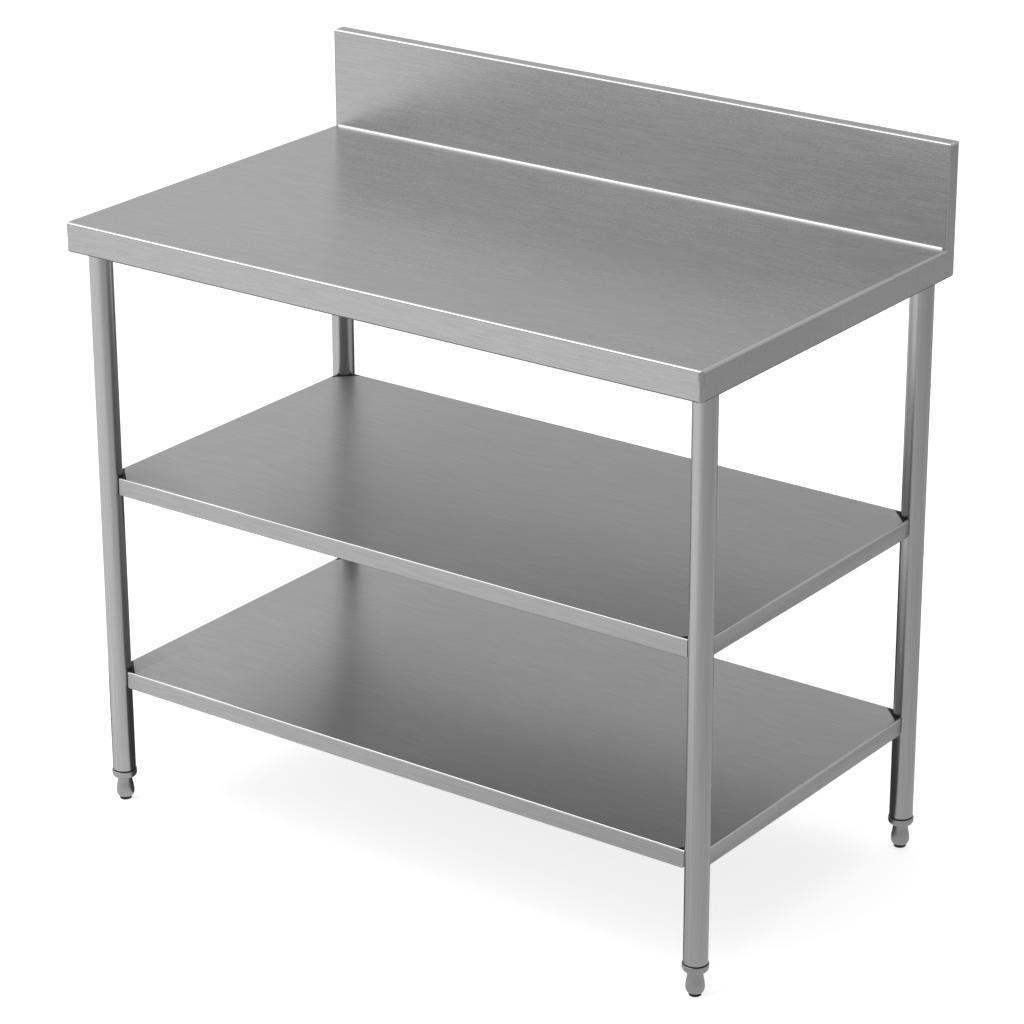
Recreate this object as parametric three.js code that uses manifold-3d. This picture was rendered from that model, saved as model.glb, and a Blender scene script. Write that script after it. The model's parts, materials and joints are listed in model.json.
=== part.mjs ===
// Stainless steel work table with a boxed splashback and two height-adjustable undershelves.
// Millimetres. X runs along the length, Y from the front edge to the splashback, Z up from the floor.
// The origin is on the floor, under the middle of the table.

import * as THREE from 'three';
import { mergeVertices } from 'three/addons/utils/BufferGeometryUtils.js';
import Module from 'manifold-3d';

const wasm = await Module();
wasm.setup();

// ---------------------------------------------------------------- driving dimensions

const LENGTH = 1000;
const DEPTH = 590;
const TOP_HEIGHT = 850;
const SPLASH_RISE = 140;
const SPLASH_DEPTH = 22;
const RIM_DROP = 40;
const TOP_SHEET = 1.2;
const BEND_RADIUS = 3;
const CORNER_RADIUS = 6;
const HEEL_RADIUS = 8;
const RIM_FOOT_RADIUS = 2;
const RIM_LIP = 5;

const LEG_RADIUS = 16;
const LEG_WALL = 1.5;
const LEG_INSET_X = 22;
const LEG_INSET_Y = 42;
const LEG_BOTTOM = 47.5;

const SHELF_HEIGHTS = { upper: 486, lower: 199 };
const SHELF_SHEET = 1;
const SHELF_OUTSET = 4;
const SHELF_FLANGE = 25;
const SHELF_LIP = 9;
const FLANGE_END_RADIUS = 4;
const FLANGE_BEND = 2;
const FLANGE_BEND_STEPS = 5;
const FLANGE_FOOT_CHAMFER = 0.8;
const FLANGE_OVERLAP = 0.2;
const FLANGE_CLEARANCE = 17.5;
const PLATE_INSET = FLANGE_BEND;
const CORNER_CUT = 19.5;

const CHANNEL_RISE = 26;
const CHANNEL_CROWN = 48;
const CHANNEL_FOOT = 10;
const CHANNEL_SHEET = 1.5;
const END_CHANNEL_SETBACK = 15;
const END_CHANNEL_MARGIN = 6;
const LONG_CHANNEL_OFFSET = 135;
const LONG_CHANNEL_GAP = 2;
const STIFFENER_CROWN = 40;
const STIFFENER_RISE = 18;
const STIFFENER_MARGIN = 45;

const GAP = 0.3;
const OVERCUT = 1;
const ROUND = 40;
const TUBE_SEGMENTS = 48;

// ---------------------------------------------------------------- derived places

const HALF_LENGTH = LENGTH / 2;
const HALF_DEPTH = DEPTH / 2;
const LEG_X = HALF_LENGTH - LEG_INSET_X;
const LEG_Y = HALF_DEPTH - LEG_INSET_Y;
const PLATE_UNDERSIDE = TOP_HEIGHT - TOP_SHEET;
const CHANNEL_TOP = PLATE_UNDERSIDE - GAP;
const CHANNEL_BOTTOM = CHANNEL_TOP - CHANNEL_RISE;
const SOCKET_TOP = CHANNEL_BOTTOM - GAP;
const SOCKET_PLATE = 3;
const LEG_TOP = SOCKET_TOP - SOCKET_PLATE - GAP;
const SPIGOT_RADIUS = LEG_RADIUS - LEG_WALL - GAP;
const SHELF_X = LEG_X + SHELF_OUTSET;
const SHELF_Y = LEG_Y + SHELF_OUTSET;
const END_CHANNEL_X = LEG_X - END_CHANNEL_SETBACK;
const CLAMP_SCREW_DROP = SHELF_FLANGE / 2 + 1;

const CORNERS = [
  { name: 'front_left', sx: -1, sy: -1 },
  { name: 'front_right', sx: 1, sy: -1 },
  { name: 'back_left', sx: -1, sy: 1 },
  { name: 'back_right', sx: 1, sy: 1 },
];

// ---------------------------------------------------------------- materials

const brushedSteel = new THREE.MeshStandardMaterial({ color: 0xa4a4a4, roughness: 0.36, metalness: 1 });
const shelfSteel = new THREE.MeshStandardMaterial({ color: 0x989898, roughness: 0.38, metalness: 1 });
const tubeSteel = new THREE.MeshStandardMaterial({ color: 0x9c9c9c, roughness: 0.3, metalness: 1 });
const channelSteel = new THREE.MeshStandardMaterial({ color: 0x8c8f90, roughness: 0.5, metalness: 1 });
const castAlloy = new THREE.MeshStandardMaterial({ color: 0x4a4b4d, roughness: 0.6, metalness: 0.8 });
const footAlloy = new THREE.MeshStandardMaterial({ color: 0x8e8e8e, roughness: 0.35, metalness: 1 });
const screwSteel = new THREE.MeshStandardMaterial({ color: 0x3c3d3f, roughness: 0.45, metalness: 1 });
const padRubber = new THREE.MeshStandardMaterial({ color: 0x151515, roughness: 0.85, metalness: 0 });

// ---------------------------------------------------------------- solid helpers

function toSolid(geometry) {
  const bare = geometry.index ? geometry.toNonIndexed() : geometry.clone();
  bare.deleteAttribute('normal');
  bare.deleteAttribute('uv');
  const joined = mergeVertices(bare, 1e-4);
  return new wasm.Manifold(new wasm.Mesh({
    numProp: 3,
    vertProperties: new Float32Array(joined.attributes.position.array),
    triVerts: new Uint32Array(joined.index.array),
  }));
}

function toGeometry(solid) {
  const mesh = solid.getMesh();
  const geometry = new THREE.BufferGeometry();
  geometry.setAttribute('position', new THREE.BufferAttribute(new Float32Array(mesh.vertProperties), 3));
  geometry.setIndex(new THREE.BufferAttribute(new Uint32Array(mesh.triVerts), 1));
  return geometry;
}

function box(x0, x1, y0, y1, z0, z1) {
  const geometry = new THREE.BoxGeometry(x1 - x0, y1 - y0, z1 - z0);
  geometry.translate((x0 + x1) / 2, (y0 + y1) / 2, (z0 + z1) / 2);
  return toSolid(geometry);
}

function prism(points, z0, z1) {
  const shape = new THREE.Shape(points.map(([x, y]) => new THREE.Vector2(x, y)));
  const geometry = new THREE.ExtrudeGeometry(shape, { depth: z1 - z0, bevelEnabled: false });
  geometry.translate(0, 0, z0);
  return toSolid(geometry);
}

function cylinder(radius, z0, z1, segments = ROUND) {
  const geometry = new THREE.CylinderGeometry(radius, radius, z1 - z0, segments);
  geometry.rotateX(Math.PI / 2);
  geometry.translate(0, 0, (z0 + z1) / 2);
  return toSolid(geometry);
}

function turned(profile, segments = ROUND) {
  const points = profile.map(([radius, z]) => new THREE.Vector2(radius, z));
  const geometry = new THREE.LatheGeometry(points, segments);
  geometry.rotateX(Math.PI / 2);
  return toSolid(geometry);
}

function union(...solids) {
  return solids.reduce((whole, solid) => whole.add(solid));
}

// Rounded outline of a rectangle, as points for prism(); a radius of 0 leaves that corner sharp.
function roundedRectangle(x0, x1, y0, y1, radii, steps = 6) {
  const corners = [
    [x0, y0, 1, 1, Math.PI],
    [x1, y0, -1, 1, -Math.PI / 2],
    [x1, y1, -1, -1, 0],
    [x0, y1, 1, -1, Math.PI / 2],
  ];
  const points = [];
  corners.forEach(([x, y, inX, inY, start], index) => {
    const radius = radii[index];
    if (radius === 0) {
      points.push([x, y]);
      return;
    }
    for (let step = 0; step <= steps; step += 1) {
      const angle = start + (Math.PI / 2) * (step / steps);
      points.push([x + inX * radius + radius * Math.cos(angle), y + inY * radius + radius * Math.sin(angle)]);
    }
  });
  return points;
}

// A prism whose outline is drawn across Y and Z, and which runs along X.
function prismAlongX(points, x0, x1) {
  return prism(points, x0, x1).rotate([90, 0, 0]).rotate([0, 0, 90]);
}

// A prism whose outline is drawn across X and Z, and which runs along Y.
function prismAlongY(points, y0, y1) {
  return prism(points, -y1, -y0).rotate([90, 0, 0]);
}

// ---------------------------------------------------------------- worktop

// A block with rounded bends along its front, side and back edges, used for both skins of the sheet.
// Its lower back edge, the heel of the end plates, is rounded too.
function roundedSlab(inset, z0, z1) {
  const bend = BEND_RADIUS - inset;
  const x = HALF_LENGTH - inset;
  const y = HALF_DEPTH - inset;
  const foot = RIM_FOOT_RADIUS - inset;
  const acrossLength = roundedRectangle(-y, y, z0, z1, [foot, HEEL_RADIUS - inset, 0, bend]);
  const acrossDepth = roundedRectangle(-x, x, z0, z1, [foot, foot, bend, bend]);
  const corner = CORNER_RADIUS - inset;
  const plan = roundedRectangle(-x, x, -y, y, [corner, corner, bend, bend]);
  return prismAlongX(acrossLength, -x, x)
    .intersect(prismAlongY(acrossDepth, -y, y))
    .intersect(prism(plan, z0, z1));
}

// The upstanding block of the splashback, with rounded top and end bends.
function roundedSplash(inset, z0, z1) {
  const bend = BEND_RADIUS - inset;
  const x = HALF_LENGTH - inset;
  const front = HALF_DEPTH - SPLASH_DEPTH + inset;
  const back = HALF_DEPTH - inset;
  const acrossLength = roundedRectangle(front, back, z0, z1, [0, HEEL_RADIUS - inset, bend, bend]);
  const foot = RIM_FOOT_RADIUS - inset;
  const acrossDepth = roundedRectangle(-x, x, z0, z1, [foot, foot, bend, bend]);
  const plan = roundedRectangle(-x, x, front, back, [bend, bend, bend, bend]);
  return prismAlongX(acrossLength, -x, x)
    .intersect(prismAlongY(acrossDepth, front, back))
    .intersect(prism(plan, z0, z1));
}

// The cove where the flat of the worktop turns up into the splashback.
function splashCove() {
  const front = HALF_DEPTH - SPLASH_DEPTH;
  const buried = TOP_SHEET / 2;
  const points = [[front + buried, TOP_HEIGHT - buried], [front - BEND_RADIUS, TOP_HEIGHT - buried]];
  const steps = 6;
  for (let step = 0; step <= steps; step += 1) {
    const angle = (Math.PI / 2) * (step / steps);
    points.push([
      front - BEND_RADIUS + BEND_RADIUS * Math.sin(angle),
      TOP_HEIGHT + BEND_RADIUS - BEND_RADIUS * Math.cos(angle),
    ]);
  }
  points.push([front + buried, TOP_HEIGHT + BEND_RADIUS]);
  const end = HALF_LENGTH - CORNER_RADIUS;
  return prismAlongX(points, -end, end);
}

function worktopSheet() {
  const rimBottom = TOP_HEIGHT - RIM_DROP;
  const outer = union(
    roundedSlab(0, rimBottom, TOP_HEIGHT),
    roundedSplash(0, rimBottom, TOP_HEIGHT + SPLASH_RISE),
    splashCove(),
  );
  const lipTop = rimBottom + TOP_SHEET;
  const inner = union(
    roundedSlab(TOP_SHEET, lipTop, PLATE_UNDERSIDE),
    roundedSplash(TOP_SHEET, lipTop, TOP_HEIGHT + SPLASH_RISE - TOP_SHEET),
  );
  const mouth = box(
    -HALF_LENGTH + RIM_LIP, HALF_LENGTH - RIM_LIP,
    -HALF_DEPTH + RIM_LIP, HALF_DEPTH - RIM_LIP,
    rimBottom - OVERCUT, lipTop + OVERCUT,
  );
  return outer.subtract(inner).subtract(mouth);
}

// ---------------------------------------------------------------- channels under the sheets

// Outline of a hat channel across its length, with its two feet at the top.
function hatOutline(crown, foot, rise, sheet) {
  const half = crown / 2;
  return [
    [-half - foot, 0], [-half + sheet, 0], [-half + sheet, -rise + sheet], [half - sheet, -rise + sheet],
    [half - sheet, 0], [half + foot, 0], [half + foot, -sheet], [half, -sheet],
    [half, -rise], [-half, -rise], [-half, -sheet], [-half - foot, -sheet],
  ];
}

function hatAlongY(length, crown, rise) {
  return prismAlongY(hatOutline(crown, CHANNEL_FOOT, rise, CHANNEL_SHEET), -length / 2, length / 2);
}

function hatAlongX(length, crown, rise) {
  return prismAlongX(hatOutline(crown, CHANNEL_FOOT, rise, CHANNEL_SHEET), -length / 2, length / 2);
}

// ---------------------------------------------------------------- leg, socket and screw

const SOCKET_PLATE_SIZE = 40;
const SOCKET_PLATE_CORNER = 5;
const SPIGOT_LENGTH = 58;
const SPIGOT_WALL = 3;
const SPIGOT_LEAD = { run: 1.5, rise: 4 };
const SCREW_RADIUS = 4;
const SCREW_POINT = 1.6;
const SCREW_PROUD = 0.6;
const HEX_RADIUS = 2.2;
const HEX_DEPTH = 3.5;
const HEX_SIDES = 6;
const SCREW_SEGMENTS = 24;
const SOCKET_SCREW_DROP = 36;
const SOCKET_SCREW_HEIGHT = LEG_TOP - SOCKET_SCREW_DROP;
// The socket screws all face the back of the table, out of sight.
const SOCKET_SCREW_DEGREES = 90;
const CLAMP_SCREW_LENGTH = 14;

// A set screw lying along X from `tip` to `head`, with a hexagon recess in its head end.
function setScrew(tip, head) {
  const length = head - tip;
  const body = turned([
    [0, 0], [SCREW_RADIUS - SCREW_POINT, 0], [SCREW_RADIUS, SCREW_POINT], [SCREW_RADIUS, length], [0, length],
  ], SCREW_SEGMENTS);
  const recess = cylinder(HEX_RADIUS, length - HEX_DEPTH, length + OVERCUT, HEX_SIDES);
  return body.subtract(recess).rotate([0, 90, 0]).translate([tip, 0, 0]);
}

// A clearance hole for a set screw, from `start` to `end` along a level line at the given height.
function screwHole(start, end, degrees, height) {
  return cylinder(SCREW_RADIUS + GAP, start, end, SCREW_SEGMENTS)
    .rotate([0, 90, 0])
    .rotate([0, 0, degrees])
    .translate([0, 0, height]);
}

function legTube() {
  return cylinder(LEG_RADIUS, LEG_BOTTOM, LEG_TOP, TUBE_SEGMENTS)
    .subtract(cylinder(LEG_RADIUS - LEG_WALL, LEG_BOTTOM - OVERCUT, LEG_TOP + OVERCUT, TUBE_SEGMENTS))
    .subtract(screwHole(SCREW_RADIUS, LEG_RADIUS + OVERCUT, SOCKET_SCREW_DEGREES, SOCKET_SCREW_HEIGHT));
}

function legSocket() {
  const half = SOCKET_PLATE_SIZE / 2;
  const flange = prism(
    roundedRectangle(-half, half, -half, half, Array(4).fill(SOCKET_PLATE_CORNER)),
    SOCKET_TOP - SOCKET_PLATE, SOCKET_TOP,
  );
  const bottom = LEG_TOP - SPIGOT_LENGTH;
  const spigot = turned([
    [0, bottom], [SPIGOT_RADIUS - SPIGOT_LEAD.run, bottom], [SPIGOT_RADIUS, bottom + SPIGOT_LEAD.rise],
    [SPIGOT_RADIUS, SOCKET_TOP - SOCKET_PLATE / 2], [0, SOCKET_TOP - SOCKET_PLATE / 2],
  ]);
  const bore = cylinder(SPIGOT_RADIUS - SPIGOT_WALL, bottom - OVERCUT, LEG_TOP - OVERCUT);
  return union(flange, spigot)
    .subtract(bore)
    .subtract(screwHole(SCREW_RADIUS, LEG_RADIUS + OVERCUT, SOCKET_SCREW_DEGREES, SOCKET_SCREW_HEIGHT));
}

// ---------------------------------------------------------------- undershelf

// Plan outline of the plate, with each corner cut off square to the leg.
function shelfPlan(inset) {
  const x = SHELF_X - inset;
  const y = SHELF_Y - inset;
  const cut = CORNER_CUT * Math.SQRT2 + 2 * SHELF_OUTSET - 2 * inset;
  return [
    [-x + cut, -y], [x - cut, -y], [x, -y + cut], [x, y - cut],
    [x - cut, y], [-x + cut, y], [-x, y - cut], [-x, -y + cut],
  ];
}

// One turned-down flange with its top bend and bottom lip, drawn as an angle across the shelf edge.
function flangeOutline(outer, top, direction) {
  const inner = outer - direction * SHELF_SHEET;
  const lip = outer - direction * SHELF_LIP;
  const bottom = top - SHELF_FLANGE;
  const shoulder = outer - direction * FLANGE_BEND;
  const foot = outer - direction * FLANGE_FOOT_CHAMFER;
  const root = top - FLANGE_BEND - FLANGE_OVERLAP;
  const seam = shoulder - direction * FLANGE_OVERLAP;
  const bend = [];
  for (let step = 0; step <= FLANGE_BEND_STEPS; step += 1) {
    const angle = (Math.PI / 2) * (step / FLANGE_BEND_STEPS);
    bend.push([
      shoulder + direction * FLANGE_BEND * Math.sin(angle),
      top - FLANGE_BEND * (1 - Math.cos(angle)),
    ]);
  }
  return [
    [seam, top], ...bend,
    [outer, bottom + FLANGE_FOOT_CHAMFER], [foot, bottom],
    [lip, bottom], [lip, bottom + SHELF_SHEET], [inner, bottom + SHELF_SHEET],
    [inner, root], [seam, root],
  ];
}

function ordered(points) {
  return THREE.ShapeUtils.isClockWise(points.map(([x, y]) => new THREE.Vector2(x, y)))
    ? points.slice().reverse()
    : points;
}

// A flange with the lower corners of its two ends rounded off.
function shelfFlange(edge, top, direction, halfRun, alongX) {
  const outline = ordered(flangeOutline(direction * edge, top, direction));
  const run = alongX ? prismAlongX(outline, -halfRun, halfRun) : prismAlongY(outline, -halfRun, halfRun);
  const ends = roundedRectangle(
    -halfRun, halfRun, top - SHELF_FLANGE, top + OVERCUT, [FLANGE_END_RADIUS, FLANGE_END_RADIUS, 0, 0],
  );
  const reach = edge + OVERCUT;
  const trim = alongX ? prismAlongY(ends, -reach, reach) : prismAlongX(ends, -reach, reach);
  return run.intersect(trim);
}

function shelfSheet(top) {
  const flangeEndX = LEG_X - FLANGE_CLEARANCE;
  const flangeEndY = LEG_Y - FLANGE_CLEARANCE;
  return union(
    prism(shelfPlan(PLATE_INSET), top - SHELF_SHEET, top),
    shelfFlange(SHELF_Y, top, -1, flangeEndX, true),
    shelfFlange(SHELF_Y, top, 1, flangeEndX, true),
    shelfFlange(SHELF_X, top, 1, flangeEndY, false),
    shelfFlange(SHELF_X, top, -1, flangeEndY, false),
  );
}

const SADDLE_TONGUE = 62;
const SADDLE_TONGUE_DEPTH = 4;
const SADDLE_TONGUE_DROP = 1.5;
const SADDLE_CHAMFER = 4;

// The cast saddle that fills a cut corner: it hugs the leg and carries the corner of the plate.
// Drawn with the leg on the Z axis and the shelf towards +X and +Y.
function cornerSaddle(top) {
  const near = -SHELF_OUTSET + FLANGE_BEND + GAP;
  const cutLine = CORNER_CUT * Math.SQRT2 - GAP * 2;
  const reach = cutLine - near - SADDLE_CHAMFER;
  const bottom = top - SHELF_FLANGE + SHELF_SHEET + GAP;
  const block = prism([
    [near, FLANGE_CLEARANCE], [FLANGE_CLEARANCE, near], [reach, near],
    [reach, near + SADDLE_CHAMFER], [near + SADDLE_CHAMFER, reach], [near, reach],
  ], bottom, top - GAP);
  const tongueTop = top - SHELF_SHEET - SADDLE_TONGUE_DROP;
  const tongueStart = near + SHELF_LIP;
  const tongue = prism([
    [tongueStart, tongueStart], [SADDLE_TONGUE - tongueStart, tongueStart],
    [tongueStart, SADDLE_TONGUE - tongueStart],
  ], tongueTop - SADDLE_TONGUE_DEPTH, tongueTop);
  const legSpace = cylinder(LEG_RADIUS + GAP, bottom - OVERCUT, top + OVERCUT, TUBE_SEGMENTS);
  return union(block, tongue)
    .subtract(legSpace)
    .subtract(screwHole(SCREW_RADIUS, SADDLE_TONGUE, 45, top - CLAMP_SCREW_DROP));
}

// ---------------------------------------------------------------- levelling foot

const STEM_RADIUS = 5;
const STEM_TOP = 78;
const STEM_CHAMFER = 1;
const PAD_TOP = 3;
const PAD_RADIUS = 8.3;
const PAD_EDGE = 0.6;
const BULLET_TOP = 34.2;
const COLLAR_BOTTOM = BULLET_TOP + 0.4;
const COLLAR_RADIUS = 17.3;
const PLUG_TOP = 84;
const PLUG_LEAD = { run: 1.5, rise: 2 };
const FOOT_SEGMENTS = 36;

// Radius and height of the bullet's waisted body, from its seat on the pad to its shoulder.
const BULLET_BODY = [
  [8.2, PAD_TOP + GAP], [9.7, 4.3], [11, 6.2], [12, 9], [12.5, 12.5], [12.5, 16.5], [12, 21.5],
  [11.2, 27], [10.6, 31], [10.4, BULLET_TOP - 0.5], [10, BULLET_TOP],
];

// Radius and height of the collar below the tube: a bowl, a plain band, and the groove above it.
const COLLAR_PROFILE = [
  [11.6, COLLAR_BOTTOM], [13.6, 34.9], [15.4, 36], [16.6, 37.7], [17.2, 39.6], [COLLAR_RADIUS, 41],
  [COLLAR_RADIUS, 45.2], [16.8, 45.7], [14.4, 45.7],
];

// The alloy plug pressed into the end of the tube, with its bowl-shaped collar below.
function footInsert() {
  const plugRadius = LEG_RADIUS - LEG_WALL - GAP;
  const groove = COLLAR_PROFILE.at(-1)[0];
  const bore = STEM_RADIUS + GAP;
  return turned([
    [bore, COLLAR_BOTTOM], ...COLLAR_PROFILE, [groove, LEG_BOTTOM - GAP], [plugRadius, LEG_BOTTOM - GAP],
    [plugRadius, PLUG_TOP - PLUG_LEAD.rise], [plugRadius - PLUG_LEAD.run, PLUG_TOP],
    [bore, PLUG_TOP], [bore, COLLAR_BOTTOM],
  ], FOOT_SEGMENTS);
}

// The bullet foot and its threaded stem, which turn together.
function bulletFoot() {
  return turned([
    [0, PAD_TOP + GAP], ...BULLET_BODY, [STEM_RADIUS, BULLET_TOP], [STEM_RADIUS, STEM_TOP - STEM_CHAMFER],
    [STEM_RADIUS - STEM_CHAMFER, STEM_TOP], [0, STEM_TOP],
  ], FOOT_SEGMENTS);
}

function footPad() {
  return turned([
    [0, 0], [PAD_RADIUS - PAD_EDGE, 0], [PAD_RADIUS, PAD_EDGE], [PAD_RADIUS, PAD_TOP - PAD_EDGE],
    [PAD_RADIUS - PAD_EDGE, PAD_TOP], [0, PAD_TOP],
  ], FOOT_SEGMENTS);
}

// ---------------------------------------------------------------- assembly

const table = new THREE.Group();

function addPiece(name, solid, material, place = [0, 0, 0], turn = 0) {
  const mesh = new THREE.Mesh(toGeometry(solid), material);
  mesh.name = name;
  mesh.position.set(...place);
  mesh.rotation.z = turn;
  table.add(mesh);
}

addPiece('worktop_sheet', worktopSheet(), brushedSteel);

const SIDES = [
  { name: 'left', sign: -1 },
  { name: 'right', sign: 1 },
];
const EDGES = [
  { name: 'front', sign: -1 },
  { name: 'back', sign: 1 },
];

const endChannelLength = DEPTH - 2 * (RIM_LIP + END_CHANNEL_MARGIN);
for (const { name, sign } of SIDES) {
  const channel = hatAlongY(endChannelLength, CHANNEL_CROWN, CHANNEL_RISE);
  addPiece(`end_channel_${name}`, channel, channelSteel, [sign * END_CHANNEL_X, 0, CHANNEL_TOP]);
}

const longChannelEnd = END_CHANNEL_X - CHANNEL_CROWN / 2 - CHANNEL_FOOT - LONG_CHANNEL_GAP;
for (const { name, sign } of EDGES) {
  const channel = hatAlongX(2 * longChannelEnd, CHANNEL_CROWN, CHANNEL_RISE);
  addPiece(`long_channel_${name}`, channel, channelSteel, [0, sign * LONG_CHANNEL_OFFSET, CHANNEL_TOP]);
}

for (const { name, sx, sy } of CORNERS) {
  const axis = [sx * LEG_X, sy * LEG_Y, 0];
  addPiece(`leg_socket_${name}`, legSocket(), channelSteel, axis);
  addPiece(`leg_tube_${name}`, legTube(), tubeSteel, axis);
  const screw = setScrew(SPIGOT_RADIUS - SPIGOT_WALL, LEG_RADIUS + SCREW_PROUD);
  const screwPlace = [axis[0], axis[1], SOCKET_SCREW_HEIGHT];
  const screwTurn = THREE.MathUtils.degToRad(SOCKET_SCREW_DEGREES);
  addPiece(`socket_screw_${name}`, screw, screwSteel, screwPlace, screwTurn);
  addPiece(`foot_insert_${name}`, footInsert(), footAlloy, axis);
  addPiece(`bullet_foot_${name}`, bulletFoot(), footAlloy, axis);
  addPiece(`foot_pad_${name}`, footPad(), padRubber, axis);
}

for (const [level, top] of Object.entries(SHELF_HEIGHTS)) {
  addPiece(`shelf_${level}`, shelfSheet(top), shelfSteel);
  const stiffener = hatAlongX(2 * (SHELF_X - STIFFENER_MARGIN), STIFFENER_CROWN, STIFFENER_RISE);
  addPiece(`shelf_${level}_channel`, stiffener, channelSteel, [0, 0, top - SHELF_SHEET - GAP]);
  for (const { name, sx, sy } of CORNERS) {
    const axis = [sx * LEG_X, sy * LEG_Y, 0];
    const inward = Math.atan2(-sy, -sx);
    addPiece(`shelf_${level}_saddle_${name}`, cornerSaddle(top), castAlloy, axis, inward - Math.PI / 4);
    const screw = setScrew(LEG_RADIUS + GAP, LEG_RADIUS + CLAMP_SCREW_LENGTH);
    const screwPlace = [axis[0], axis[1], top - CLAMP_SCREW_DROP];
    addPiece(`shelf_${level}_screw_${name}`, screw, screwSteel, screwPlace, inward);
  }
}

export default table;
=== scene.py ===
import json
import math

import bmesh
import bpy
from mathutils import Matrix, Vector


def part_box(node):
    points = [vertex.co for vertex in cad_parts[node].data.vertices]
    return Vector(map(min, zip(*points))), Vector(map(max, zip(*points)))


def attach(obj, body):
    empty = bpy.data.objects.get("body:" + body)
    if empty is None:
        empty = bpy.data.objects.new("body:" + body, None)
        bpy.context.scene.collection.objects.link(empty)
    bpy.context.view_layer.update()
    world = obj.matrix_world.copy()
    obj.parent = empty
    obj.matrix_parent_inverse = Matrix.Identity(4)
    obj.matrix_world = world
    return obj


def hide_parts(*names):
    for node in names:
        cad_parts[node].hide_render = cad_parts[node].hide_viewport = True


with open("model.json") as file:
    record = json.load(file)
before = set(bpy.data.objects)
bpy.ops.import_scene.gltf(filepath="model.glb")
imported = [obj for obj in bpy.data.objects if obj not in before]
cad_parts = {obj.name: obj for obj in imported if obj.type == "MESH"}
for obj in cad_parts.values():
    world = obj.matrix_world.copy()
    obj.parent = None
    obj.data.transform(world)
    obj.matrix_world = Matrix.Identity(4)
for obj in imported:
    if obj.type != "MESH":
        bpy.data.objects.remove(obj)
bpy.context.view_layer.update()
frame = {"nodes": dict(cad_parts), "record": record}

CORNERS = ["front_left", "front_right", "back_left", "back_right"]
BODY_OF = {node: body for body, nodes in frame["record"]["behaviour"]["bodies"].items() for node in nodes}
SLOT_OF = {entry["node"]: entry["material_slot"] for entry in frame["record"]["subparts"]}


# ---------------------------------------------------------------- camera

CAMERA_AZIMUTH = math.radians(36.165)
CAMERA_ELEVATION = math.radians(21.913)
CAMERA_ROLL = math.radians(-0.18)
CAMERA_DISTANCE = 4.9127
CAMERA_AIM = Vector((0.0102, -0.0008, 0.4635))
CAMERA_LENS = 129.35


def make_camera():
    data = bpy.data.cameras.new("camera")
    data.lens = CAMERA_LENS
    data.sensor_width = 36.0
    data.clip_end = 100.0
    camera = bpy.data.objects.new("camera", data)
    bpy.context.scene.collection.objects.link(camera)
    level = math.cos(CAMERA_ELEVATION)
    back = Vector((
        math.sin(CAMERA_AZIMUTH) * level,
        -math.cos(CAMERA_AZIMUTH) * level,
        math.sin(CAMERA_ELEVATION),
    ))
    turn = (-back).to_track_quat("-Z", "Y").to_matrix().to_4x4()
    camera.matrix_world = (
        Matrix.Translation(CAMERA_AIM + back * CAMERA_DISTANCE) @ turn @ Matrix.Rotation(CAMERA_ROLL, 4, "Z")
    )
    bpy.context.scene.camera = camera


# ---------------------------------------------------------------- studio

LAMP_STRENGTH = 1.0
FLOOR_POOL = {
    "centre": (-2.6, -3.4),
    "reach": (7.0, 10.0),
    "stops": [(0.0, 0.35), (0.35, 0.45), (0.5, 0.55), (0.62, 0.82), (1.0, 0.95)],
}


def emission_material(name, strength):
    material = bpy.data.materials.new(name)
    material.use_nodes = True
    nodes = material.node_tree.nodes
    nodes.clear()
    emission = nodes.new("ShaderNodeEmission")
    emission.inputs["Color"].default_value = (1.0, 1.0, 1.0, 1.0)
    emission.inputs["Strength"].default_value = strength
    output = nodes.new("ShaderNodeOutputMaterial")
    material.node_tree.links.new(emission.outputs[0], output.inputs["Surface"])
    return material


def plane(name, centre, normal, width, height):
    mesh = bpy.data.meshes.new(name)
    corners = [(-width / 2, -height / 2, 0), (width / 2, -height / 2, 0),
               (width / 2, height / 2, 0), (-width / 2, height / 2, 0)]
    mesh.from_pydata(corners, [], [(0, 1, 2, 3)])
    made = bpy.data.objects.new(name, mesh)
    bpy.context.scene.collection.objects.link(made)
    turn = Vector(normal).to_track_quat("Z", "Y").to_matrix().to_4x4()
    made.matrix_world = Matrix.Translation(Vector(centre)) @ turn
    return made


def reflection_card(name, centre, normal, width, height, strength):
    """A card that only the metal sees, as a studio flag or reflector stands outside the picture."""
    card = plane(name, centre, normal, width, height)
    card.data.materials.append(emission_material(name, strength))
    card.visible_camera = False
    card.visible_diffuse = False
    card.visible_shadow = False
    card.visible_transmission = False
    return card


def floor_reflector():
    """What the metal sees of the floor: a pool of light to the front left that fades outwards."""
    card = reflection_card("floor_reflector", (0, 0, 0.0005), (0, 0, 1), 40, 40, 1.0)
    tree = card.data.materials[0].node_tree
    place = tree.nodes.new("ShaderNodeNewGeometry")
    mapping = tree.nodes.new("ShaderNodeMapping")
    mapping.vector_type = "TEXTURE"
    mapping.inputs["Location"].default_value = (*FLOOR_POOL["centre"], 0.0)
    mapping.inputs["Scale"].default_value = (*FLOOR_POOL["reach"], 1.0)
    tree.links.new(place.outputs["Position"], mapping.inputs["Vector"])
    pool = tree.nodes.new("ShaderNodeTexGradient")
    pool.gradient_type = "SPHERICAL"
    tree.links.new(mapping.outputs["Vector"], pool.inputs["Vector"])
    ramp = grey_ramp(tree.nodes, FLOOR_POOL["stops"])
    tree.links.new(pool.outputs["Fac"], ramp.inputs["Fac"])
    tree.links.new(ramp.outputs["Color"], tree.nodes["Emission"].inputs["Color"])


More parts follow.
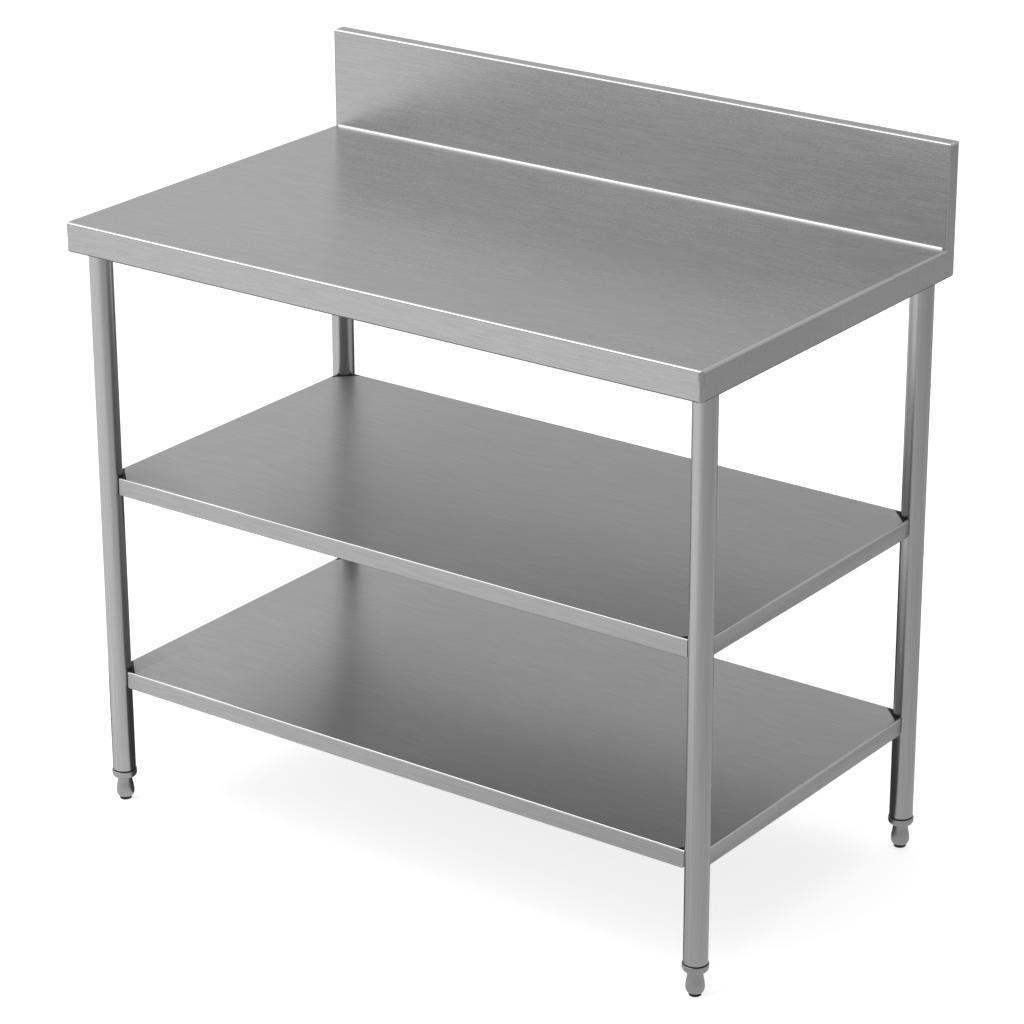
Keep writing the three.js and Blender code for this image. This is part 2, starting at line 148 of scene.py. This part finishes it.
def area_light(name, place, aim, width, height, power):
    data = bpy.data.lights.new(name, "AREA")
    data.shape = "RECTANGLE"
    data.size = width
    data.size_y = height
    data.energy = power
    light = bpy.data.objects.new(name, data)
    bpy.context.scene.collection.objects.link(light)
    direction = Vector(aim) - Vector(place)
    turn = direction.to_track_quat("-Z", "Y").to_matrix().to_4x4()
    light.matrix_world = Matrix.Translation(Vector(place)) @ turn
    light.visible_camera = False
    light.visible_glossy = False


def grey_ramp(nodes, stops):
    """A ramp of greys from (position, shade) pairs."""
    ramp = nodes.new("ShaderNodeValToRGB")
    ramp.color_ramp.interpolation = "EASE"
    elements = ramp.color_ramp.elements
    for place, _ in stops[1:-1]:
        elements.new(place)
    for index, (place, shade) in enumerate(stops):
        elements[index].position = place
        elements[index].color = (shade, shade, shade, 1.0)
    return ramp


def facing_share(nodes, links, direction):
    """How far the view direction of the world faces one way, from 0 behind to 1 straight on."""
    coordinate = nodes.new("ShaderNodeTexCoord")
    facing = nodes.new("ShaderNodeVectorMath")
    facing.operation = "DOT_PRODUCT"
    facing.inputs[1].default_value = Vector(direction).normalized()
    links.new(coordinate.outputs["Generated"], facing.inputs[0])
    remap = nodes.new("ShaderNodeMapRange")
    remap.inputs["From Min"].default_value = -1.0
    remap.inputs["From Max"].default_value = 1.0
    links.new(facing.outputs["Value"], remap.inputs["Value"])
    return remap.outputs["Result"]


def make_world():
    """A soft studio: lighter to the left, dim to the right, with one bright lamp high to the front left."""
    world = bpy.data.worlds.new("studio")
    bpy.context.scene.world = world
    world.use_nodes = True
    nodes = world.node_tree.nodes
    links = world.node_tree.links
    nodes.clear()
    room = grey_ramp(nodes, [(0.0, 0.2), (0.45, 0.28), (0.55, 0.38), (0.87, 0.4), (0.96, 0.54), (1.0, 0.66)])
    links.new(facing_share(nodes, links, (-0.75, 0.6, 0.3)), room.inputs["Fac"])
    lamp = grey_ramp(nodes, [(0.0, 0.0), (0.89, 0.0), (0.95, 1.0), (1.0, 1.0)])
    links.new(facing_share(nodes, links, (-0.55, -0.3, 0.75)), lamp.inputs["Fac"])
    room_light = nodes.new("ShaderNodeBackground")
    links.new(room.outputs["Color"], room_light.inputs["Color"])
    room_light.inputs["Strength"].default_value = 1.0
    lamp_light = nodes.new("ShaderNodeBackground")
    links.new(lamp.outputs["Color"], lamp_light.inputs["Color"])
    lamp_light.inputs["Strength"].default_value = LAMP_STRENGTH
    both = nodes.new("ShaderNodeAddShader")
    links.new(room_light.outputs[0], both.inputs[0])
    links.new(lamp_light.outputs[0], both.inputs[1])
    output = nodes.new("ShaderNodeOutputWorld")
    links.new(both.outputs[0], output.inputs["Surface"])


def floor_material():
    """A pale floor that glows a little, so that shadows on it stay faint."""
    material = bpy.data.materials.new("studio_floor")
    material.use_nodes = True
    shader = material.node_tree.nodes["Principled BSDF"]
    shader.inputs["Base Color"].default_value = (0.38, 0.38, 0.38, 1.0)
    shader.inputs["Roughness"].default_value = 0.9
    shader.inputs["Specular IOR Level"].default_value = 0.0
    shader.inputs["Emission Color"].default_value = (1.0, 1.0, 1.0, 1.0)
    shader.inputs["Emission Strength"].default_value = 0.78
    return material


def make_studio():
    scene = bpy.context.scene
    scene.view_settings.view_transform = "Standard"
    scene.view_settings.look = "None"
    make_world()
    floor = plane("studio_floor", (0, 0, -0.0004), (0, 0, 1), 60, 60)
    floor.data.materials.append(floor_material())
    area_light("overhead_softbox", (-0.6, -0.4, 4.2), (0, 0, 0), 5.0, 5.0, 210)
    area_light("front_softbox", (-2.6, -3.4, 2.2), (0, 0, 0.5), 2.6, 2.6, 60)
    floor_reflector()
    reflection_card("floor_shade", (-0.235, 1.08, 0.001), (0, 0, 1), 1.33, 2.64, 0.04)


# ---------------------------------------------------------------- material helpers

class Nodes:
    """Small helper that adds nodes to one material and links them."""

    def __init__(self, name):
        self.material = bpy.data.materials.new(name)
        self.material.use_nodes = True
        self.tree = self.material.node_tree
        self.shader = self.tree.nodes["Principled BSDF"]

    def add(self, kind, **settings):
        node = self.tree.nodes.new(kind)
        for key, value in settings.items():
            setattr(node, key, value)
        return node

    def link(self, source, target):
        self.tree.links.new(source, target)

    def set(self, **values):
        for key, value in values.items():
            self.shader.inputs[key.replace("_", " ")].default_value = value

    def stretched_noise(self, scale, detail=3.0, roughness=0.55, offset=(0, 0, 0)):
        """Noise over the piece's own coordinates, stretched by a scale for each axis (per metre)."""
        coordinate = self.add("ShaderNodeTexCoord")
        mapping = self.add("ShaderNodeMapping")
        mapping.inputs["Scale"].default_value = scale
        mapping.inputs["Location"].default_value = offset
        self.link(coordinate.outputs["Object"], mapping.inputs["Vector"])
        noise = self.add("ShaderNodeTexNoise")
        noise.inputs["Scale"].default_value = 1.0
        noise.inputs["Detail"].default_value = detail
        noise.inputs["Roughness"].default_value = roughness
        self.link(mapping.outputs["Vector"], noise.inputs["Vector"])
        return noise.outputs["Fac"]

    def remap(self, value, low, high, to_low, to_high):
        node = self.add("ShaderNodeMapRange")
        node.inputs["From Min"].default_value = low
        node.inputs["From Max"].default_value = high
        node.inputs["To Min"].default_value = to_low
        node.inputs["To Max"].default_value = to_high
        self.link(value, node.inputs["Value"])
        return node.outputs["Result"]

    def math(self, operation, first, second):
        node = self.add("ShaderNodeMath", operation=operation)
        for index, value in enumerate((first, second)):
            if isinstance(value, (int, float)):
                node.inputs[index].default_value = value
            else:
                self.link(value, node.inputs[index])
        return node.outputs[0]

    def blend(self, share, first, second):
        """`first` where the share is 0 and the number `second` where it is 1."""
        node = self.add("ShaderNodeMix", data_type="FLOAT")
        self.link(share, node.inputs["Factor"])
        self.link(first, node.inputs["A"])
        node.inputs["B"].default_value = second
        return node.outputs["Result"]

    def grey(self, value):
        """A grey colour from a number."""
        node = self.add("ShaderNodeCombineColor")
        for channel in ("Red", "Green", "Blue"):
            self.link(value, node.inputs[channel])
        return node.outputs["Color"]

    def bump(self, height, strength, distance):
        node = self.add("ShaderNodeBump")
        node.inputs["Strength"].default_value = strength
        node.inputs["Distance"].default_value = distance
        self.link(height, node.inputs["Height"])
        self.link(node.outputs["Normal"], self.shader.inputs["Normal"])


def edge_lightening(nodes, value, amount):
    """Lightens the base colour a little on convex edges."""
    geometry = nodes.add("ShaderNodeNewGeometry")
    edge = nodes.remap(geometry.outputs["Pointiness"], 0.52, 0.6, 0.0, amount)
    return nodes.math("ADD", value, edge)


# The upper bends carry a painted highlight: a base colour lifted near white and a lower roughness, lighter
# and smoother than the satin faces.
# The lower bends carry painted shade: a near-black base colour.
UPPER_BEND = "upper_bend"
LOWER_BEND = "lower_bend"
PAINTED_HIGHLIGHT_SHADE = 0.93
HIGHLIGHT_BEND_ROUGHNESS = 0.12
PAINTED_UNDER_BEND_SHADE = 0.12


# Grain scales per metre: across the grain it is fine, along it long and stretched.
GRAIN_X = {"fine": (26, 760, 760), "coarse": (13, 330, 330), "cloud": (1.6, 4, 4)}
GRAIN_Z = {"fine": (700, 700, 14), "coarse": (260, 260, 5), "cloud": (4, 4, 1.6)}


def brushed_metal(name, base, rough, grain, contrast=1.0, anisotropy=0.0, bump=0.12):
    """Satin stainless steel whose fine grain runs along one axis, with faint long scratches and clouding."""
    nodes = Nodes(name)
    fine = nodes.stretched_noise(grain["fine"], detail=4.0)
    coarse = nodes.stretched_noise(grain["coarse"], detail=5.0, offset=(3.1, 7.7, 1.9))
    cloud = nodes.stretched_noise(grain["cloud"], detail=2.0, offset=(5.3, 2.2, 8.4))
    shade = nodes.math(
        "ADD",
        nodes.remap(fine, 0.3, 0.7, base - 0.045 * contrast, base + 0.045 * contrast),
        nodes.remap(coarse, 0.3, 0.7, -0.03 * contrast, 0.03 * contrast),
    )
    shade = nodes.math("ADD", shade, nodes.remap(cloud, 0.3, 0.7, -0.01, 0.01))
    shade = edge_lightening(nodes, shade, 0.08)
    roughness = nodes.math(
        "ADD",
        nodes.remap(coarse, 0.3, 0.7, rough - 0.02, rough + 0.02),
        nodes.remap(cloud, 0.3, 0.7, -0.02, 0.02),
    )
    upper = nodes.add("ShaderNodeAttribute", attribute_type="GEOMETRY", attribute_name=UPPER_BEND)
    lower = nodes.add("ShaderNodeAttribute", attribute_type="GEOMETRY", attribute_name=LOWER_BEND)
    # Painted highlight: the upper bends' base colour is lifted near white.
    shade = nodes.blend(upper.outputs["Fac"], shade, PAINTED_HIGHLIGHT_SHADE)
    # Painted shade: the lower bends' base colour is set near black.
    shade = nodes.blend(lower.outputs["Fac"], shade, PAINTED_UNDER_BEND_SHADE)
    roughness = nodes.blend(upper.outputs["Fac"], roughness, HIGHLIGHT_BEND_ROUGHNESS)
    nodes.link(nodes.grey(shade), nodes.shader.inputs["Base Color"])
    nodes.link(roughness, nodes.shader.inputs["Roughness"])
    nodes.set(Metallic=1.0)
    if anisotropy:
        tangent = nodes.add("ShaderNodeTangent", direction_type="RADIAL", axis="X")
        nodes.link(tangent.outputs["Tangent"], nodes.shader.inputs["Tangent"])
        nodes.set(Anisotropic=anisotropy)
    nodes.bump(nodes.math("ADD", fine, coarse), bump, 0.00012)
    return nodes.material


def cast_alloy(name, base, rough, grain_scale):
    """Sand-cast metal: a dark, slightly pitted surface."""
    nodes = Nodes(name)
    pits = nodes.stretched_noise((grain_scale,) * 3, detail=6.0, roughness=0.7)
    stain = nodes.stretched_noise((60, 60, 60), detail=3.0, offset=(1.0, 4.0, 2.0))
    shade = nodes.math(
        "ADD",
        nodes.remap(stain, 0.3, 0.7, base - 0.008, base + 0.008),
        nodes.remap(pits, 0.3, 0.7, -0.008, 0.008),
    )
    nodes.link(nodes.grey(edge_lightening(nodes, shade, 0.06)), nodes.shader.inputs["Base Color"])
    nodes.link(nodes.remap(pits, 0.3, 0.7, rough - 0.08, rough + 0.08), nodes.shader.inputs["Roughness"])
    nodes.set(Metallic=0.85, Specular_IOR_Level=0.2)
    nodes.bump(pits, 0.35, 0.0003)
    return nodes.material


def turned_metal(name, base, rough):
    """Metal turned on a lathe: fine rings across its height."""
    nodes = Nodes(name)
    rings = nodes.stretched_noise((14, 14, 1500), detail=2.0)
    cloud = nodes.stretched_noise((70, 70, 70), detail=3.0, offset=(4.0, 1.0, 6.0))
    shade = nodes.math(
        "ADD",
        nodes.remap(rings, 0.3, 0.7, base - 0.03, base + 0.03),
        nodes.remap(cloud, 0.3, 0.7, -0.03, 0.03),
    )
    nodes.link(nodes.grey(edge_lightening(nodes, shade, 0.1)), nodes.shader.inputs["Base Color"])
    nodes.link(nodes.remap(cloud, 0.3, 0.7, rough - 0.05, rough + 0.05), nodes.shader.inputs["Roughness"])
    nodes.set(Metallic=1.0)
    nodes.bump(rings, 0.15, 0.0001)
    return nodes.material


def moulded_rubber(name):
    nodes = Nodes(name)
    grain = nodes.stretched_noise((1800, 1800, 1800), detail=3.0)
    dust = nodes.stretched_noise((90, 90, 90), detail=4.0, offset=(2.0, 5.0, 1.0))
    nodes.link(nodes.grey(nodes.remap(dust, 0.35, 0.75, 0.012, 0.035)), nodes.shader.inputs["Base Color"])
    nodes.link(nodes.remap(dust, 0.3, 0.7, 0.62, 0.8), nodes.shader.inputs["Roughness"])
    nodes.bump(grain, 0.3, 0.0002)
    return nodes.material


def make_materials():
    return {
        "worktop_steel": brushed_metal("worktop_steel", 0.56, 0.27, GRAIN_X, anisotropy=0.75),
        # The shelves' base colour is set darker than the worktop's: painted shade for the shelves lying
        # under the worktop.
        "shelf_steel": brushed_metal("shelf_steel", 0.45, 0.31, GRAIN_X, anisotropy=0.75),
        "tube_steel": brushed_metal("tube_steel", 0.54, 0.25, GRAIN_Z, contrast=0.5, bump=0.05),
        "channel_steel": brushed_metal("channel_steel", 0.46, 0.45, GRAIN_X, contrast=0.6, bump=0.08),
        "foot_alloy": turned_metal("foot_alloy", 0.48, 0.34),
        "saddle_alloy": cast_alloy("saddle_alloy", 0.022, 0.6, 900),
        "screw_steel": turned_metal("screw_steel", 0.12, 0.4),
        "pad_rubber": moulded_rubber("pad_rubber"),
    }


# ---------------------------------------------------------------- pieces made from the frame

def show_for(piece, node, material):
    """Puts a finished piece in its CAD node's place."""
    piece.data.materials.clear()
    piece.data.materials.append(material)
    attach(piece, BODY_OF[node])
    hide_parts(node)


def mark_bends(mesh):
    """Marks the faces of bends about a level axis: those that lie neither flat nor upright."""
    mesh.attributes.new(UPPER_BEND, "FLOAT", "FACE")
    mesh.attributes.new(LOWER_BEND, "FLOAT", "FACE")
    for polygon in mesh.polygons:
        slope = polygon.normal.z
        # The upper-bend mask carries a painted highlight.
        mesh.attributes[UPPER_BEND].data[polygon.index].value = float(0.12 < slope < 0.992)
        # The lower-bend mask carries painted shade.
        mesh.attributes[LOWER_BEND].data[polygon.index].value = float(0.12 < -slope < 0.992)


# Faces larger than this (square metres) are the flats of a sheet, and are shaded as planes.
FLAT_FACE_AREA = 0.004


def softened_copy(node, edge, segments=3, sharp=32.0):
    """The node's own shape with its planes cleaned up and its hard edges broken by a small radius."""
    source = frame["nodes"][node]
    mesh = bpy.data.meshes.new("fine_" + node)
    work = bmesh.new()
    work.from_mesh(source.data)
    bmesh.ops.remove_doubles(work, verts=work.verts, dist=1e-6)
    bmesh.ops.dissolve_limit(
        work, angle_limit=math.radians(0.4), verts=work.verts, edges=work.edges, delimit={"NORMAL"},
    )
    work.to_mesh(mesh)
    work.free()
    piece = bpy.data.objects.new("fine_" + node, mesh)
    bpy.context.scene.collection.objects.link(piece)
    for polygon in mesh.polygons:
        polygon.use_smooth = polygon.area < FLAT_FACE_AREA
    mark_bends(mesh)
    bevel = piece.modifiers.new("edges", "BEVEL")
    bevel.width = edge
    bevel.segments = segments
    bevel.limit_method = "ANGLE"
    bevel.angle_limit = math.radians(sharp)
    bevel.harden_normals = True
    bevel.miter_outer = "MITER_ARC"
    normals = piece.modifiers.new("normals", "WEIGHTED_NORMAL")
    normals.keep_sharp = True
    normals.weight = 100
    return piece


def lathe(name, axis_place, profile, segments=72):
    """A turned piece from a list of (radius, height) points, closed on its own axis at both ends."""
    mesh = bpy.data.meshes.new(name)
    work = bmesh.new()
    rings = []
    for radius, height in profile:
        if radius < 1e-6:
            rings.append([work.verts.new((axis_place[0], axis_place[1], height))])
            continue
        ring = []
        for step in range(segments):
            angle = 2 * math.pi * step / segments
            ring.append(work.verts.new((
                axis_place[0] + radius * math.cos(angle), axis_place[1] + radius * math.sin(angle), height,
            )))
        rings.append(ring)
    for lower, upper in zip(rings, rings[1:]):
        for step in range(segments):
            following = (step + 1) % segments
            if len(lower) == 1 and len(upper) > 1:
                work.faces.new((lower[0], upper[following], upper[step]))
            elif len(upper) == 1 and len(lower) > 1:
                work.faces.new((lower[step], lower[following], upper[0]))
            elif len(lower) > 1:
                work.faces.new((lower[step], lower[following], upper[following], upper[step]))
    bmesh.ops.recalc_face_normals(work, faces=work.faces)
    work.to_mesh(mesh)
    work.free()
    for polygon in mesh.polygons:
        polygon.use_smooth = True
    piece = bpy.data.objects.new(name, mesh)
    bpy.context.scene.collection.objects.link(piece)
    return piece


# ---------------------------------------------------------------- sheets, channels, tubes, saddles

EDGE_BREAK = {
    "worktop_sheet": 0.0005,
    "shelf": 0.0004,
    "channel": 0.0006,
    "leg_socket": 0.0008,
    "leg_tube": 0.0003,
    "saddle": 0.0009,
    "screw": 0.0003,
    "foot_insert": 0.0003,
    "foot_pad": 0.0005,
}


def edge_break_for(node):
    for key in ("saddle", "screw", "channel", "worktop_sheet", "leg_socket", "leg_tube", "foot_insert",
                "foot_pad", "shelf"):
        if key in node:
            return EDGE_BREAK[key]
    raise KeyError(node)


def make_softened_pieces(materials):
    for node in frame["nodes"]:
        if node.startswith("bullet_foot"):
            continue
        piece = softened_copy(node, edge_break_for(node))
        show_for(piece, node, materials[SLOT_OF[node]])


# ---------------------------------------------------------------- bullet feet with a cut thread

THREAD_PITCH = 0.0015
THREAD_DEPTH = 0.0008
COLLAR_CLEARANCE = 0.0004
STEM_RADIUS = 0.005
STEM_OVERLAP = 0.002
# A black ring in each groove below a leg tube: painted shade for the shadow there.
SHADE_RING_RADIUS = 0.0158
SHADE_RING_HEIGHT = 0.0014
SHADE_RING_WIDTH = 0.0022
SHADE_RING_CLEARANCE = 0.0001


def bullet_profile(low, high, widest):
    """The bullet's outline: a tapered seat, a full belly and a slow narrowing to the top."""
    seat = 0.0078
    waist = 0.01
    belly = 0.3
    edge = 0.0007
    top = high - edge
    points = [(0.0, low), (seat - edge, low), (seat - 0.2 * edge, low + 0.2 * edge)]
    steps = 26
    for step in range(steps + 1):
        share = step / steps
        if share < belly:
            swell = math.sqrt(1 - (1 - share / belly) ** 2)
            across = seat + (widest - seat) * swell
        else:
            fade = (share - belly) / (1 - belly)
            across = widest - (widest - waist) * (0.5 - 0.5 * math.cos(math.pi * fade))
        points.append((across, low + edge + (top - low - edge) * share))
    points.append((waist - 0.3 * edge, high - 0.3 * edge))
    points.append((waist - edge, high))
    points.append((0.0, high))
    return points


def threaded_stem(name, axis_place, low, high, radius):
    """A rod with a helical thread, as rings whose radius follows the thread's phase."""
    mesh = bpy.data.meshes.new(name)
    work = bmesh.new()
    segments = 28
    rings_per_turn = 8
    count = int((high - low) / THREAD_PITCH * rings_per_turn)
    rings = []
    for index in range(count + 1):
        height = low + (high - low) * index / count
        ring = []
        for step in range(segments):
            turn = step / segments
            phase = ((height - low) / THREAD_PITCH - turn) % 1.0
            depth = THREAD_DEPTH * abs(2 * phase - 1) ** 1.3
            lead_in = min(1.0, (high - height) / 0.0015)
            across = (radius - depth) * (0.86 + 0.14 * lead_in)
            angle = 2 * math.pi * turn
            ring.append(work.verts.new((
                axis_place[0] + across * math.cos(angle), axis_place[1] + across * math.sin(angle), height,
            )))
        rings.append(ring)
    for lower, upper in zip(rings, rings[1:]):
        for step in range(segments):
            following = (step + 1) % segments
            work.faces.new((lower[step], lower[following], upper[following], upper[step]))
    work.faces.new(rings[-1])
    work.faces.new(list(reversed(rings[0])))
    bmesh.ops.recalc_face_normals(work, faces=work.faces)
    work.to_mesh(mesh)
    work.free()
    for polygon in mesh.polygons:
        polygon.use_smooth = len(polygon.vertices) == 4
    piece = bpy.data.objects.new(name, mesh)
    bpy.context.scene.collection.objects.link(piece)
    return piece


def shade_ring_profile(low, high, across):
    """A thin round-edged ring, given as its outline from the axis side outwards and back."""
    bore = across - SHADE_RING_WIDTH
    edge = 0.0003
    return [
        (bore, low), (across - edge, low), (across, low + edge), (across, high - edge),
        (across - edge, high), (bore, high), (bore, low),
    ]


def make_groove_shade_rings(materials):
    """A black ring in the groove between a leg tube and the collar of its foot insert, as painted shade for
    the shadow in that groove.
    """
    for corner in CORNERS:
        tube_low, tube_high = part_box("leg_tube_" + corner)
        axis_place = ((tube_low[0] + tube_high[0]) / 2, (tube_low[1] + tube_high[1]) / 2)
        high = tube_low[2] - SHADE_RING_CLEARANCE
        outline = shade_ring_profile(high - SHADE_RING_HEIGHT, high, SHADE_RING_RADIUS)
        ring = lathe("groove_shade_ring_" + corner, axis_place, outline)
        ring.data.materials.append(materials["pad_rubber"])
        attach(ring, "frame")


def make_bullet_feet(materials):
    for corner in CORNERS:
        node = "bullet_foot_" + corner
        low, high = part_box(node)
        axis_place = ((low[0] + high[0]) / 2, (low[1] + high[1]) / 2)
        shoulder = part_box("foot_insert_" + corner)[0][2] - COLLAR_CLEARANCE
        widest = (high[0] - low[0]) / 2
        bullet = lathe("bullet_" + corner, axis_place, bullet_profile(low[2], shoulder, widest))
        show_for(bullet, node, materials["foot_alloy"])
        stem = threaded_stem("stem_" + corner, axis_place, shoulder - STEM_OVERLAP, high[2], STEM_RADIUS)
        stem.data.materials.append(materials["foot_alloy"])
        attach(stem, BODY_OF[node])


# ---------------------------------------------------------------- build

make_camera()
make_studio()
MATERIALS = make_materials()
make_softened_pieces(MATERIALS)
make_groove_shade_rings(MATERIALS)
make_bullet_feet(MATERIALS)
